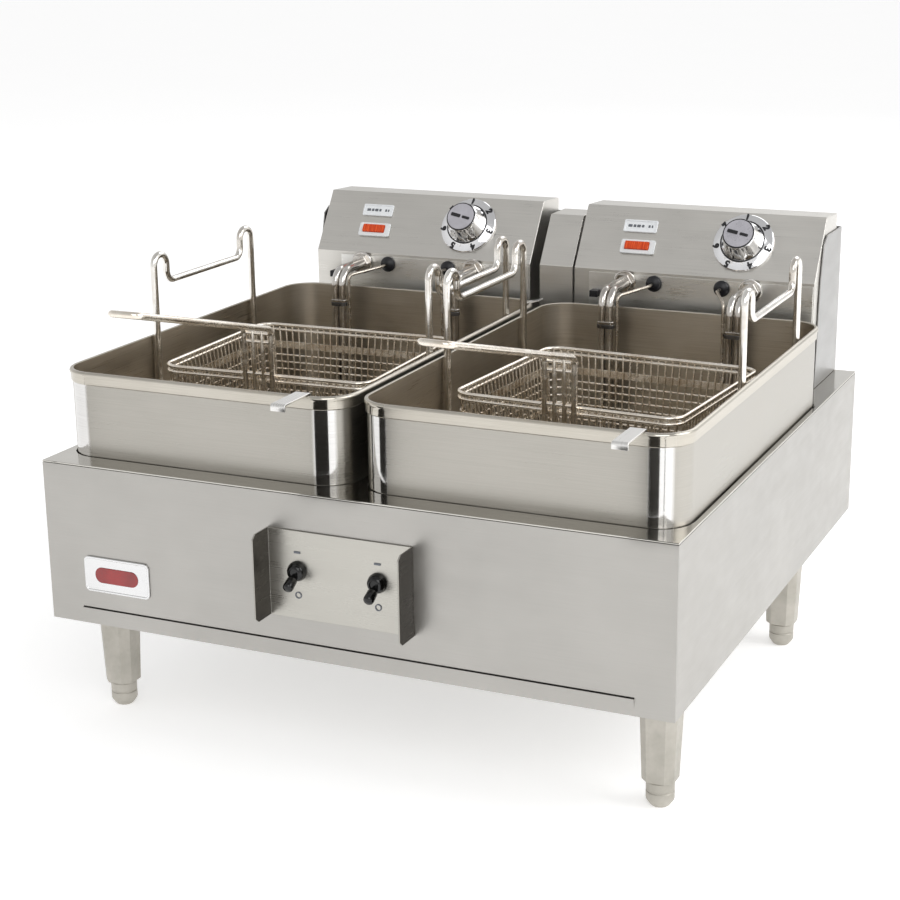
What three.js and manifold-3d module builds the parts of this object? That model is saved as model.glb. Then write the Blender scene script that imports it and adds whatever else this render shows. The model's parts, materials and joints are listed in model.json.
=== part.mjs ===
// Twin-pot countertop deep fryer.
// Millimetres, +Z up, front towards -Y, the counter at Z = 0.
import * as THREE from 'three';
import { mergeVertices } from 'three/addons/utils/BufferGeometryUtils.js';
import Module from 'manifold-3d';

const wasm = await Module();
wasm.setup();

// ---------------------------------------------------------------- driving dimensions
const originToFront = 254.36;    // cabinet front face, in front of the origin
const cabinet = { width: 610, depth: 610, height: 152 };
const sheet = 1.5;               // sheet metal thickness
const clear = 0.4;               // gap between neighbouring pieces

const leg = { height: 82, top: 35, bottom: 29, chamfer: 8, inX: 31, frontIn: 61, rearIn: 152 };
const foot = { height: 24, radius: 12.5, base: 8.5, bevel: 6, stud: 5, studLength: 32 };

const pot = { width: 292, depth: 450, rise: 82, floor: 22, corner: 30, front: 26, centreX: 152.5 };
const hem = { height: 11, proud: 2.5 };

const slot = { length: 540, height: 0.9, up: 15.5, lipHeight: 9.5, lipReach: 1.5 };
const guard = { centreX: 1.5, width: 141, low: 39, high: 120, reach: 28, round: 5 };
const toggle = { spacing: 78, up: 83.5, radius: 9, dome: 8, lever: 20, hang: 18 };
const badge = { width: 70, height: 34, centreX: -230, centreZ: 50, thick: 1.2 };

const basket = { width: 220, depth: 204, rim: 221, bottom: 75.4, taper: 0.9, corner: 16, wall: 2 };
const handle = { railSpacing: 28, wire: 6, rise: 265, length: 229, tilt: 14.5, riserWidth: 33 };
const hanger = { wire: 8, legLow: 154, top: 312, bar: 284, span: 184, loop: 22, wallGap: 0.6 };
const screen = { level: 73, thick: 2, depth: 392, margin: 9, tabX: 107, tabWidth: 14, tabReach: 41, tabDrop: 5 };

const head = { width: 260, front: 510, fold: 265, topFront: 551, top: 327, topRear: 595, low: 206 };
const riser = { left: -296, right: 283, lowY: 519, kneeY: 528, kneeZ: 265, topY: 549, top: 309 };
const cover = { left: -20, right: 18, front: 512, fold: 265, topFront: 545, top: 315, rear: 586 };
const dial = { skirt: 32, hub: 16.5, height: 26, x: 48.5, up: 39.5 };
const lamp = { width: 38, height: 16, x: -64, up: 27.5, thick: 2.6 };
const label = { width: 37, height: 14, x: -65.5, up: 51.5, thick: 1.2 };
const element = { tube: 12, armA: -72, armB: 64, exit: 254, dropY: 451, level: 48, frontY: 84, collar: 219 };
const probe = { wire: 3, grommetA: -40, grommetB: 33.5, grommet: 8.5, beside: 11.5, low: 120 };

const deckTop = cabinet.height;
const rimTop = deckTop + pot.rise;
const legTotal = leg.height + foot.height;
const slantRun = head.topFront - head.front;
const slantRise = head.top - head.fold;
const slantAngle = Math.atan2(slantRise, slantRun);

// What differs between the left and the right half.
const halves = [
  {
    side: 'left', potX: -pot.centreX, headX: -160.5, plateIn: 31,
    basketX: -147, basketY: 229, basketYaw: 1.5,
    outward: -1, hangerFront: { outer: 181, inner: 217 },
  },
  {
    side: 'right', potX: pot.centreX, headX: 151, plateIn: 17,
    basketX: 163, basketY: 228, basketYaw: -4,
    outward: 1, hangerFront: { outer: 211, inner: 203 },
  },
];

// ---------------------------------------------------------------- materials
const paint = (color, roughness, metalness) => new THREE.MeshStandardMaterial({ color, roughness, metalness });
const satinSteel = paint(0xc4c2be, 0.35, 1);
const potSteel = paint(0xb9b6b0, 0.25, 1);
const wireChrome = paint(0xb8ac98, 0.25, 1);
const castLeg = paint(0xc8c6b9, 0.55, 0.8);
const blackPlastic = paint(0x0c0c0d, 0.3, 0);
const blackRubber = paint(0x111112, 0.7, 0);
const whitePlastic = paint(0xe6e8ea, 0.4, 0);
const amberLens = paint(0xd23a08, 0.2, 0);

// ---------------------------------------------------------------- geometry helpers
function toSolid(geometry) {
  const bare = geometry.clone();
  bare.deleteAttribute('normal');
  bare.deleteAttribute('uv');
  const merged = mergeVertices(bare, 1e-4);
  const mesh = new wasm.Mesh({
    numProp: 3,
    vertProperties: new Float32Array(merged.attributes.position.array),
    triVerts: new Uint32Array(merged.index.array),
  });
  return new wasm.Manifold(mesh);
}

function toGeometry(solid) {
  const mesh = solid.getMesh();
  const geometry = new THREE.BufferGeometry();
  geometry.setAttribute('position', new THREE.BufferAttribute(new Float32Array(mesh.vertProperties), 3));
  geometry.setIndex(new THREE.BufferAttribute(new Uint32Array(mesh.triVerts), 1));
  geometry.computeVertexNormals();
  return geometry;
}

function joined(...geometries) {
  return toGeometry(geometries.map(toSolid).reduce((sum, next) => sum.add(next)));
}

function cutFrom(body, ...cutters) {
  return toGeometry(cutters.map(toSolid).reduce((rest, cutter) => rest.subtract(cutter), toSolid(body)));
}

function common(a, b) {
  return toGeometry(toSolid(a).intersect(toSolid(b)));
}

function block(x0, x1, y0, y1, z0, z1) {
  const geometry = new THREE.BoxGeometry(x1 - x0, y1 - y0, z1 - z0);
  geometry.translate((x0 + x1) / 2, (y0 + y1) / 2, (z0 + z1) / 2);
  return geometry;
}

// A rectangle with rounded corners, centred on the origin.
function roundedRectangle(width, depth, radius, segments = 5) {
  const corners = [[1, -1, -90], [1, 1, 0], [-1, 1, 90], [-1, -1, 180]];
  const points = [];
  for (const [sx, sy, start] of corners) {
    for (let i = 0; i <= segments; i += 1) {
      const angle = THREE.MathUtils.degToRad(start + (90 * i) / segments);
      const x = sx * (width / 2 - radius) + radius * Math.cos(angle);
      const y = sy * (depth / 2 - radius) + radius * Math.sin(angle);
      points.push(new THREE.Vector2(x, y));
    }
  }
  return new THREE.Shape(points);
}

function upright(shape, z0, z1) {
  const geometry = new THREE.ExtrudeGeometry(shape, { depth: z1 - z0, bevelEnabled: false, steps: 1 });
  geometry.translate(0, 0, z0);
  return geometry;
}

// An upright prism whose bottom is smaller than its top by the factor given.
function tapered(shape, z0, z1, bottomScale) {
  const geometry = upright(shape, z0, z1);
  const position = geometry.attributes.position;
  for (let i = 0; i < position.count; i += 1) {
    if (position.getZ(i) < (z0 + z1) / 2) {
      position.setX(i, position.getX(i) * bottomScale);
      position.setY(i, position.getY(i) * bottomScale);
    }
  }
  return geometry;
}

// A profile drawn in Y and Z, extruded from x0 to x1.
function acrossX(profile, x0, x1) {
  const shape = new THREE.Shape(profile.map(([y, z]) => new THREE.Vector2(y, z)));
  const geometry = new THREE.ExtrudeGeometry(shape, { depth: x1 - x0, bevelEnabled: false, steps: 1 });
  geometry.applyMatrix4(new THREE.Matrix4().set(0, 0, 1, x0, 1, 0, 0, 0, 0, 1, 0, 0, 0, 0, 0, 1));
  return geometry;
}

// A shape drawn in X and Z, extruded from y0 back to y1.
function acrossY(shape, y0, y1) {
  const geometry = new THREE.ExtrudeGeometry(shape, { depth: y1 - y0, bevelEnabled: false, steps: 1 });
  geometry.rotateX(Math.PI / 2);
  geometry.translate(0, y1, 0);
  return geometry;
}

function turned(profile, segments) {
  const geometry = new THREE.LatheGeometry(profile.map(([r, y]) => new THREE.Vector2(r, y)), segments);
  geometry.rotateX(Math.PI / 2);
  return geometry;
}

// A bent wire's centre line: one ring stands at each of its points.
class BentLine extends THREE.Curve {
  constructor(points) {
    super();
    this.points = points;
  }

  nearest(t) {
    return Math.min(this.points.length - 1, Math.round(t * (this.points.length - 1)));
  }

  getPoint(t, target = new THREE.Vector3()) {
    return target.copy(this.points[this.nearest(t)]);
  }

  getPointAt(u, target) {
    return this.getPoint(u, target);
  }

  getTangentAt(u, target = new THREE.Vector3()) {
    const i = this.nearest(u);
    const before = this.points[Math.max(0, i - 1)];
    const after = this.points[Math.min(this.points.length - 1, i + 1)];
    return target.copy(after).sub(before).normalize();
  }
}

// The points of a route that turns at each corner with the given bend radius.
function bentRoute(corners, bend, segments = 4) {
  const at = corners.map((corner) => new THREE.Vector3(...corner));
  const points = [at[0]];
  for (let i = 1; i < at.length - 1; i += 1) {
    const into = at[i].clone().sub(at[i - 1]).normalize();
    const out = at[i + 1].clone().sub(at[i]).normalize();
    const turn = into.angleTo(out);
    const setBack = bend * Math.tan(turn / 2);
    const start = at[i].clone().addScaledVector(into, -setBack);
    const inward = out.clone().addScaledVector(into, -into.dot(out)).normalize();
    const centre = start.clone().addScaledVector(inward, bend);
    for (let k = 0; k <= segments; k += 1) {
      const angle = (turn * k) / segments;
      points.push(centre.clone()
        .addScaledVector(inward, -bend * Math.cos(angle))
        .addScaledVector(into, bend * Math.sin(angle)));
    }
  }
  points.push(at[at.length - 1]);
  return points;
}

function wire(points, diameter, sides = 6) {
  const ring = [];
  for (let i = 0; i < sides; i += 1) {
    const angle = (2 * Math.PI * i) / sides;
    ring.push(new THREE.Vector2(Math.cos(angle), Math.sin(angle)).multiplyScalar(diameter / 2));
  }
  return new THREE.ExtrudeGeometry(new THREE.Shape(ring), {
    steps: points.length - 1,
    extrudePath: new BentLine(points),
    bevelEnabled: false,
  });
}

// ---------------------------------------------------------------- the assembly
// Pieces are placed with Y from the cabinet's front face and Z from its bottom edge.
const fryer = new THREE.Group();
const body = new THREE.Group();
body.position.set(0, -originToFront, legTotal);
fryer.add(body);

function place(name, geometry, material, parent = body) {
  const mesh = new THREE.Mesh(geometry, material);
  mesh.name = name;
  parent.add(mesh);
  return mesh;
}

// ---------------------------------------------------------------- cabinet
function frontPanel() {
  const half = cabinet.width / 2;
  const panel = block(-half, half, 0, sheet, 0, cabinet.height);
  const halfSlot = slot.length / 2;
  const opening = block(-halfSlot, halfSlot, -9, 9, slot.up, slot.up + slot.height);
  const lipLow = slot.up - slot.lipHeight;
  const lipProfile = [
    [0.5, lipLow], [0, lipLow], [-slot.lipReach, slot.up - 1], [-slot.lipReach, slot.up], [0.5, slot.up],
  ];
  const lip = acrossX(lipProfile, -halfSlot, halfSlot);
  return joined(cutFrom(panel, opening), lip);
}

function topDeck() {
  const half = cabinet.width / 2;
  const plate = block(-half, half, 0, cabinet.depth, cabinet.height + clear, cabinet.height + clear + sheet);
  const openings = halves.map(({ potX }) => {
    const hole = upright(roundedRectangle(pot.width + 3, pot.depth + 3, pot.corner + 1.5), 100, 200);
    hole.translate(potX, pot.front + pot.depth / 2, 0);
    return hole;
  });
  return cutFrom(plate, ...openings);
}

function cabinetPieces() {
  const half = cabinet.width / 2;
  const rear = cabinet.depth;
  const high = cabinet.height;
  place('front_panel', frontPanel(), satinSteel);
  const sideFront = sheet + clear;
  place('left_side_panel', block(-half, -half + sheet, sideFront, rear, 0, high), satinSteel);
  place('right_side_panel', block(half - sheet, half, sideFront, rear, 0, high), satinSteel);
  const inside = half - sheet - clear;
  place('rear_panel', block(-inside, inside, rear - sheet, rear, 0, high), satinSteel);
  place('bottom_pan', block(-inside, inside, sideFront, rear - sheet - clear, 0, sheet), satinSteel);
  place('top_deck', topDeck(), satinSteel);
}

function switchGuard() {
  const left = guard.centreX - guard.width / 2;
  const right = guard.centreX + guard.width / 2;
  const back = -clear;
  const face = back - sheet;
  const front = -guard.reach;
  const channel = new THREE.Shape([
    [left, front], [left + sheet, front], [left + sheet, face], [right - sheet, face],
    [right - sheet, front], [right, front], [right, back], [left, back],
  ].map(([x, y]) => new THREE.Vector2(x, y)));
  const cut = guard.round;
  const sideView = [
    [front - 1, guard.low + cut], [front + cut, guard.low], [back + 1, guard.low],
    [back + 1, guard.high], [front + cut, guard.high], [front - 1, guard.high - cut],
  ];
  return common(upright(channel, guard.low, guard.high), acrossX(sideView, left - 1, right + 1));
}

function toggleSwitch(side, x) {
  const faceY = -clear - sheet - clear;
  const bore = 5;
  const boot = turned([
    [bore, 0], [toggle.radius, 0], [toggle.radius, 3], [toggle.radius - 2.5, toggle.dome - 1],
    [bore + 1, toggle.dome], [bore, 0],
  ], 14);
  const bootMesh = place(`toggle_boot_${side}`, boot, blackPlastic);
  bootMesh.rotation.x = Math.PI / 2;
  bootMesh.position.set(x, faceY, toggle.up);
  const bat = turned([
    [0, 1], [2.2, 1], [2.6, toggle.dome], [4.4, toggle.dome + 4], [4.6, toggle.lever + 5], [0, toggle.lever + 6],
  ], 8);
  const batMesh = place(`toggle_lever_${side}`, bat, blackPlastic);
  batMesh.rotation.x = Math.PI / 2 + THREE.MathUtils.degToRad(toggle.hang);
  batMesh.position.set(x, faceY, toggle.up);
}

function nameplate() {
  const outline = roundedRectangle(badge.width, badge.height, 5, 3);
  const plate = acrossY(outline, -clear - badge.thick, -clear);
  plate.translate(badge.centreX, 0, badge.centreZ);
  return plate;
}

// ---------------------------------------------------------------- legs and feet
function legShape() {
  const half = leg.top / 2;
  const cut = half - leg.chamfer;
  const outline = [
    [half, -cut], [half, cut], [cut, half], [-cut, half],
    [-half, cut], [-half, -cut], [-cut, -half], [cut, -half],
  ];
  return new THREE.Shape(outline.map(([x, y]) => new THREE.Vector2(x, y)));
}

function legs() {
  const post = tapered(legShape(), -leg.height, -clear, leg.bottom / leg.top);
  const bore = new THREE.CylinderGeometry(foot.stud + 0.5, foot.stud + 0.5, foot.studLength + 14, 12);
  bore.rotateX(Math.PI / 2);
  bore.translate(0, 0, -leg.height + foot.studLength / 2 - 1);
  const bored = cutFrom(post, bore);
  const shoulder = foot.height - clear;
  const shoe = turned([
    [0, 0], [foot.base, 0], [foot.radius, foot.bevel], [foot.radius, shoulder],
    [foot.stud, shoulder], [foot.stud, shoulder + foot.studLength], [0, shoulder + foot.studLength],
  ], 12);
  const x = cabinet.width / 2 - leg.inX;
  const corners = [
    ['front_left', -x, leg.frontIn], ['front_right', x, leg.frontIn],
    ['rear_left', -x, cabinet.depth - leg.rearIn], ['rear_right', x, cabinet.depth - leg.rearIn],
  ];
  for (const [where, legX, legY] of corners) {
    place(`leg_${where}`, bored.clone(), castLeg).position.set(legX, legY, 0);
    place(`foot_${where}`, shoe.clone(), castLeg).position.set(legX, legY, -legTotal);
  }
}

// ---------------------------------------------------------------- pots and what hangs in them
function fryPot() {
  const outline = (grow) => roundedRectangle(pot.width + 2 * grow, pot.depth + 2 * grow, pot.corner + grow);
  const shell = upright(outline(0), pot.floor, rimTop);
  const rim = upright(outline(hem.proud), rimTop - hem.height, rimTop);
  const space = upright(outline(-sheet), pot.floor + sheet, rimTop + 5);
  return cutFrom(joined(shell, rim), space);
}

function basketHanger(x, front) {
  const rear = front + hanger.span;
  const inside = hanger.loop;
  const route = bentRoute([
    [x, front, hanger.legLow], [x, front, hanger.top], [x, front + inside, hanger.top],
    [x, front + inside, hanger.bar], [x, rear - inside, hanger.bar], [x, rear - inside, hanger.top],
    [x, rear, hanger.top], [x, rear, hanger.legLow],
  ], inside / 2 - 0.5, 4);
  return wire(route, hanger.wire, 6);
}

function basketBody() {
  const outline = (grow) => roundedRectangle(basket.width + 2 * grow, basket.depth + 2 * grow, basket.corner + grow, 4);
  const outer = tapered(outline(-2), basket.bottom, basket.rim, basket.taper);
  const band = upright(outline(0), basket.rim - 13, basket.rim);
  const inner = tapered(outline(-2 - basket.wall), basket.bottom + basket.wall, basket.rim + 5, basket.taper);
  return cutFrom(joined(outer, band), inner);
}

function basketHandle() {
  const half = handle.railSpacing / 2;
  const y = -basket.depth / 2 - handle.wire / 2 - clear;
  const run = handle.length * Math.cos(THREE.MathUtils.degToRad(handle.tilt));
  const climb = handle.length * Math.sin(THREE.MathUtils.degToRad(handle.tilt));
  const rails = wire(bentRoute([
    [-half, y, handle.rise], [-half, y - run, handle.rise + climb],
    [half, y - run, handle.rise + climb], [half, y, handle.rise],
  ], half - 1, 4), handle.wire, 6);
  const wide = handle.riserWidth / 2;
  const plate = block(-wide, wide, y - 2.5, y + 2.5, basket.rim - 22, handle.rise + 3);
  return joined(rails, plate);
}

function crumbScreen() {
  const width = pot.width - 2 * sheet - 2 * screen.margin;
  const front = pot.front + sheet + screen.margin;
  const plate = upright(roundedRectangle(width, screen.depth, 22, 3), screen.level, screen.level + screen.thick);
  plate.translate(0, front + screen.depth / 2, 0);
  const inner = pot.front + sheet + 3;
  const over = rimTop + clear;
  const tip = pot.front - screen.tabReach;
  const strap = acrossX([
    [front + 4, screen.level + 0.2], [front + 4, screen.level + 1.7], [inner + 1.5, screen.level + 1.7],
    [inner + 1.5, over + 1.5], [tip, over + 1.5], [tip, over - screen.tabDrop],
    [tip + 1.5, over - screen.tabDrop], [tip + 1.5, over], [inner, over], [inner, screen.level + 0.2],
  ], screen.tabX - screen.tabWidth / 2, screen.tabX + screen.tabWidth / 2);
  return joined(plate, strap);
}

function heatingElement() {
  const { armA, armB, exit, dropY, level, frontY } = element;
  const start = head.front - sheet - 2 * clear - 1;
  const loop = wire(bentRoute([
    [armA, start, exit], [armA, dropY, exit], [armA, dropY, level], [armA, frontY, level],
    [armB, frontY, level], [armB, dropY, level], [armB, dropY, exit], [armB, start, exit],
  ], 16, 5), element.tube, 8);
  const collars = [armA, armB].map((x) => {
    const collar = new THREE.CylinderGeometry(8.5, 8.5, 5, 10);
    collar.rotateX(Math.PI / 2);
    collar.translate(x, dropY, element.collar);
    return collar;
  });
  return joined(loop, ...collars);
}

function probeLine(grommetX, armX) {
  const side = Math.sign(grommetX - armX);
  const x = armX + side * probe.beside;
  const start = head.front - sheet - 2 * clear - 1;
  return wire(bentRoute([
    [grommetX, start - 6, element.exit], [grommetX, start - 14, element.exit],
    [x, element.dropY, element.exit - 4], [x, element.dropY, probe.low],
  ], 5, 4), probe.wire, 6);
}

function potSet(half) {
  const { side, potX, headX } = half;
  const centre = new THREE.Group();
  centre.position.x = potX;
  body.add(centre);
  place(`fry_pot_${side}`, fryPot(), potSteel, centre).position.y = pot.front + pot.depth / 2;
  const offset = pot.width / 2 - sheet - hanger.wire / 2 - hanger.wallGap;
  place(`hanger_outer_${side}`, basketHanger(half.outward * offset, half.hangerFront.outer), wireChrome, centre);
  place(`hanger_inner_${side}`, basketHanger(-half.outward * offset, half.hangerFront.inner), wireChrome, centre);
  place(`crumb_screen_${side}`, crumbScreen(), satinSteel, centre);

  const lifted = new THREE.Group();
  lifted.position.set(half.basketX, half.basketY, 0);
  lifted.rotation.z = THREE.MathUtils.degToRad(half.basketYaw);
  body.add(lifted);
  place(`basket_${side}`, basketBody(), wireChrome, lifted);
  place(`basket_handle_${side}`, basketHandle(), wireChrome, lifted);

  const heads = new THREE.Group();
  heads.position.x = headX;
  body.add(heads);
  place(`element_${side}`, heatingElement(), wireChrome, heads);
  place(`thermostat_probe_${side}`, probeLine(probe.grommetA, element.armA), wireChrome, heads);
  place(`limit_probe_${side}`, probeLine(probe.grommetB, element.armB), wireChrome, heads);
}

// ---------------------------------------------------------------- control heads
function headCasing() {
  const half = head.width / 2;
  const outer = [
    [head.front, head.low], [head.front, head.fold], [head.topFront, head.top],
    [head.topRear, head.top - 2], [head.topRear, head.low],
  ];
  const inner = [
    [head.front + sheet, head.low - 5], [head.front + sheet, head.fold - 0.5],
    [head.topFront + 0.8, head.top - sheet], [head.topRear - sheet, head.top - 2 - sheet],
    [head.topRear - sheet, head.low - 5],
  ];
  return cutFrom(acrossX(outer, -half, half), acrossX(inner, -half + sheet, half - sheet));
}

// Puts a piece whose back lies in its own XY plane on the sloping panel.
function onSlope(mesh, x, up, gap = clear) {
  mesh.rotation.x = slantAngle;
  const out = new THREE.Vector3(0, -Math.sin(slantAngle), Math.cos(slantAngle));
  const y = head.front + up * Math.cos(slantAngle);
  const z = head.fold + up * Math.sin(slantAngle);
  mesh.position.set(x, y, z).addScaledVector(out, gap);
}

function dialKnob() {
  const profile = [
    [0, 0], [dial.skirt, 0], [dial.skirt, 2], [dial.skirt - 3.5, 4.5],
    [dial.hub + 2.5, 7], [dial.hub, dial.height], [0, dial.height],
  ];
  const geometry = new THREE.LatheGeometry(profile.map(([r, h]) => new THREE.Vector2(r, h)), 28);
  geometry.rotateX(Math.PI / 2);
  return geometry;
}

function lampBezel() {
  const frame = upright(roundedRectangle(lamp.width, lamp.height, 2, 2), 0, lamp.thick);
  const window = upright(roundedRectangle(lamp.width - 11, lamp.height - 6.5, 1, 2), -1, lamp.thick + 1);
  window.translate(-1, 1, 0);
  return cutFrom(frame, window);
}

function lampLens() {
  const lens = upright(roundedRectangle(lamp.width - 11.8, lamp.height - 7.3, 0.8, 2), 0, lamp.thick + 1.4);
  lens.translate(-1, 1, 0);
  return lens;
}

function grommetRing() {
  const hole = probe.wire / 2 + 0.8;
  return turned([
    [hole, 0], [probe.grommet, 0], [probe.grommet, 2.5], [probe.grommet - 3, 4.5], [hole, 4.5], [hole, 0],
  ], 12);
}

function controlHead(half) {
  const { side, headX } = half;
  const group = new THREE.Group();
  group.position.x = headX;
  body.add(group);
  place(`head_casing_${side}`, headCasing(), satinSteel, group);
  const left = -head.width / 2;
  const plateBack = head.front - clear;
  const plate = block(left + half.plateIn, -left - 1, plateBack - sheet, plateBack, head.low + 12, head.fold - 3);
  place(`element_plate_${side}`, plate, satinSteel, group);
  onSlope(place(`dial_${side}`, dialKnob(), potSteel, group), dial.x, dial.up);
  onSlope(place(`lamp_bezel_${side}`, lampBezel(), whitePlastic, group), lamp.x, lamp.up);
  onSlope(place(`lamp_lens_${side}`, lampLens(), amberLens, group), lamp.x, lamp.up);
  const labelPlate = upright(roundedRectangle(label.width, label.height, 1.5, 2), 0, label.thick);
  onSlope(place(`label_window_${side}`, labelPlate, whitePlastic, group), label.x, label.up);
  for (const [name, x] of [['thermostat', probe.grommetA], ['limit', probe.grommetB]]) {
    const ring = place(`${name}_grommet_${side}`, grommetRing(), blackRubber, group);
    ring.rotation.x = Math.PI / 2;
    ring.position.set(x, plateBack - sheet - clear, element.exit);
  }
  const padBack = half.plateIn > 30 ? plateBack : plateBack - sheet - clear;
  const pad = block(left + 21.5, left + 30.5, head.front - 13, padBack, rimTop + 3, rimTop + 10);
  place(`rest_pad_${side}`, pad, blackRubber, group);
}

// ---------------------------------------------------------------- riser behind the heads
function riserHousing() {
  const low = deckTop + sheet + 2 * clear;
  const rear = cabinet.depth;
  const cheek = [
    [riser.lowY, low], [riser.kneeY, riser.kneeZ], [riser.topY - 12, riser.top - 7],
    [riser.topY, riser.top], [rear, riser.top], [rear, low],
  ];
  const shelfTop = head.low - clear;
  const inside = (z0, z1) => block(riser.left + sheet, riser.right - sheet, 480, rear - sheet, z0, z1);
  const aboveShelf = inside(shelfTop, riser.top + 20);
  const belowShelf = inside(low - 20, shelfTop - sheet);
  return cutFrom(acrossX(cheek, riser.left, riser.right), aboveShelf, belowShelf);
}

function centreCover() {
  const low = deckTop + sheet + 2 * clear;
  const shell = [
    [cover.front, low], [cover.front, cover.fold], [cover.topFront, cover.top], [cover.rear, cover.top],
    [cover.rear, cover.top - sheet], [cover.topFront + 0.7, cover.top - sheet],
    [cover.front + sheet, cover.fold - 0.5], [cover.front + sheet, low],
  ];
  return acrossX(shell, cover.left, cover.right);
}

cabinetPieces();
place('switch_guard', switchGuard(), satinSteel);
place('nameplate', nameplate(), satinSteel);
toggleSwitch('left', -toggle.spacing / 2);
toggleSwitch('right', toggle.spacing / 2);
legs();
halves.forEach(potSet);
halves.forEach(controlHead);
place('riser_housing', riserHousing(), satinSteel);
place('centre_cover', centreCover(), satinSteel);

export default fryer;
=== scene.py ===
"""Looks of a twin-pot countertop deep fryer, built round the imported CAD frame.

Metres, +Z up, front towards -Y.
"""
import json
import math

import bmesh
import bpy
from mathutils import Matrix, Vector


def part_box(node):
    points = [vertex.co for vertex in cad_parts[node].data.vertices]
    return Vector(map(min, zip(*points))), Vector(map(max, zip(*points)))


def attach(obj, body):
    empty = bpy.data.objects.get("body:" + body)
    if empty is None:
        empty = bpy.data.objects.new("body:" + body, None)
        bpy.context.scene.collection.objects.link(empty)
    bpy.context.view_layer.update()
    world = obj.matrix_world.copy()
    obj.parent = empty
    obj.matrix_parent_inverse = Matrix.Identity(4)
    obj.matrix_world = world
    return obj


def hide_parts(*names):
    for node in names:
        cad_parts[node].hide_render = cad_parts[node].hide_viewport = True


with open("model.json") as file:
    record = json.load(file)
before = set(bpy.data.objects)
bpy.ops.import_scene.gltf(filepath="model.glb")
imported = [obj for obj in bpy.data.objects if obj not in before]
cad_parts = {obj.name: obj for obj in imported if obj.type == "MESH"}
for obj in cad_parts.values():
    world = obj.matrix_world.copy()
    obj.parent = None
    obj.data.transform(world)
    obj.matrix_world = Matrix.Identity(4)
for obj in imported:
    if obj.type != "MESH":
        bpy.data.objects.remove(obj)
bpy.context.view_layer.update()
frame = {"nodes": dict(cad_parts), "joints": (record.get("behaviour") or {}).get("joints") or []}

MM = 0.001
SIDES = ("left", "right")
JOINTS = {joint["name"]: joint for joint in frame["joints"]}


# -------------------- shared sizes
def sizes(**millimetres):
    """Named sizes given in millimetres, as metres."""
    return {name: size * MM for name, size in millimetres.items()}


SHEET = 1.5 * MM
POT = sizes(corner=30, hem=12, proud=2.5, floor_bend=12)
HANGER = sizes(loop=22, bar_drop=28, bend=10.5)
SCREEN_PLATE = sizes(edge_gap=9, length=392, thick=2, hole=3.2, pitch=12)
LIFT_TAB = sizes(off_centre=107, half_width=7, wall_gap=3.7, lip=5, bend=2.2)
BASKET = sizes(
    width=220, depth=204, corner=16, inset=2, band=13, strap_top=19, strap_low=26,
    pitch=7.4, wire=1.05, rim_wire=1.9, rim_gap=5.2,
)
HANDLE = sizes(rail=3, spacing=28, rise=44, riser=22, length=229, bend=8)
TUBE = sizes(radius=4.1, apart=4.4, collar_half=8.1, bend=16, end=6, arm_back=57, clamp_drop=36)
CAPILLARY = sizes(radius=1.7, below_top=1.5, straight=10, sag=4, bend=6)
BASKET_TAPER = 0.9

# Angles in degrees.
BASKET_YAW = {"left": 1.5, "right": -4}
HANDLE_TILT = 14.5
LEVER_HANG = 28
POINTER_TURN = -12

# The rest are in millimetres. A card's edges are measured along X from its pot's right edge.
DIAL = {"skirt": 32, "hub_base": 22.5, "hub": 17, "height": 25}
LEVER = {"length": 23, "root": 2.2, "bat": 4.8}
CARDS = {"left": ((-46, 14), (-308.5, -305)), "right": ((-47, -1.5), (22, 25))}


# -------------------- mesh helpers
def rounded_loop(half_x, half_y, radius, steps):
    """Points of a rounded rectangle round the origin, anticlockwise, with steps + 1 points to a corner."""
    corners = ((1, -1, -90), (1, 1, 0), (-1, 1, 90), (-1, -1, 180))
    points = []
    for sign_x, sign_y, start in corners:
        for k in range(steps + 1):
            angle = math.radians(start + 90 * k / steps)
            x = sign_x * (half_x - radius) + radius * math.cos(angle)
            y = sign_y * (half_y - radius) + radius * math.sin(angle)
            points.append((x, y))
    return points


def loft(bm, rings, cap_start=False, cap_end=False):
    """Skins closed rings of equal length one after another, and returns their vertices."""
    made = [[bm.verts.new(point) for point in ring] for ring in rings]
    for low, high in zip(made, made[1:]):
        for k in range(len(low)):
            after = (k + 1) % len(low)
            bm.faces.new((low[k], low[after], high[after], high[k]))
    if cap_start:
        bm.faces.new(made[0][::-1])
    if cap_end:
        bm.faces.new(made[-1])
    return made


def bent(corners, radius, steps=6):
    """The points of a route through corners, each rounded with the bend radius."""
    corners = [Vector(c) for c in corners]
    points = [corners[0]]
    for before, at, after in zip(corners, corners[1:], corners[2:]):
        into = (at - before).normalized()
        out = (after - at).normalized()
        turn = into.angle(out)
        start = at - into * radius * math.tan(turn / 2)
        inward = (out - into * into.dot(out)).normalized()
        centre = start + inward * radius
        for k in range(steps + 1):
            angle = turn * k / steps
            points.append(centre - inward * radius * math.cos(angle) + into * radius * math.sin(angle))
    points.append(corners[-1])
    return points


def tube(bm, points, radius, sides=8, closed=False):
    """Sweeps a round section along the points, turning it as little as it can."""
    count = len(points)
    points = [Vector(p) for p in points]
    side = None
    rings = []
    for k, point in enumerate(points):
        before = points[k - 1] if closed or k else point
        after = points[(k + 1) % count] if closed or k < count - 1 else point
        along = (after - before).normalized()
        if side is None:
            side = along.orthogonal().normalized()
        side = (side - along * along.dot(side)).normalized()
        other = along.cross(side)
        angles = (2 * math.pi * n / sides for n in range(sides))
        rings.append([point + radius * (side * math.cos(a) + other * math.sin(a)) for a in angles])
    if closed:
        made = loft(bm, rings)
        first, last = made[0], made[-1]
        shift = min(range(sides), key=lambda s: (first[s].co - last[0].co).length)
        for n in range(sides):
            after = (n + 1) % sides
            bm.faces.new((last[n], last[after], first[(after + shift) % sides], first[(n + shift) % sides]))
    else:
        loft(bm, rings, True, True)


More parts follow.
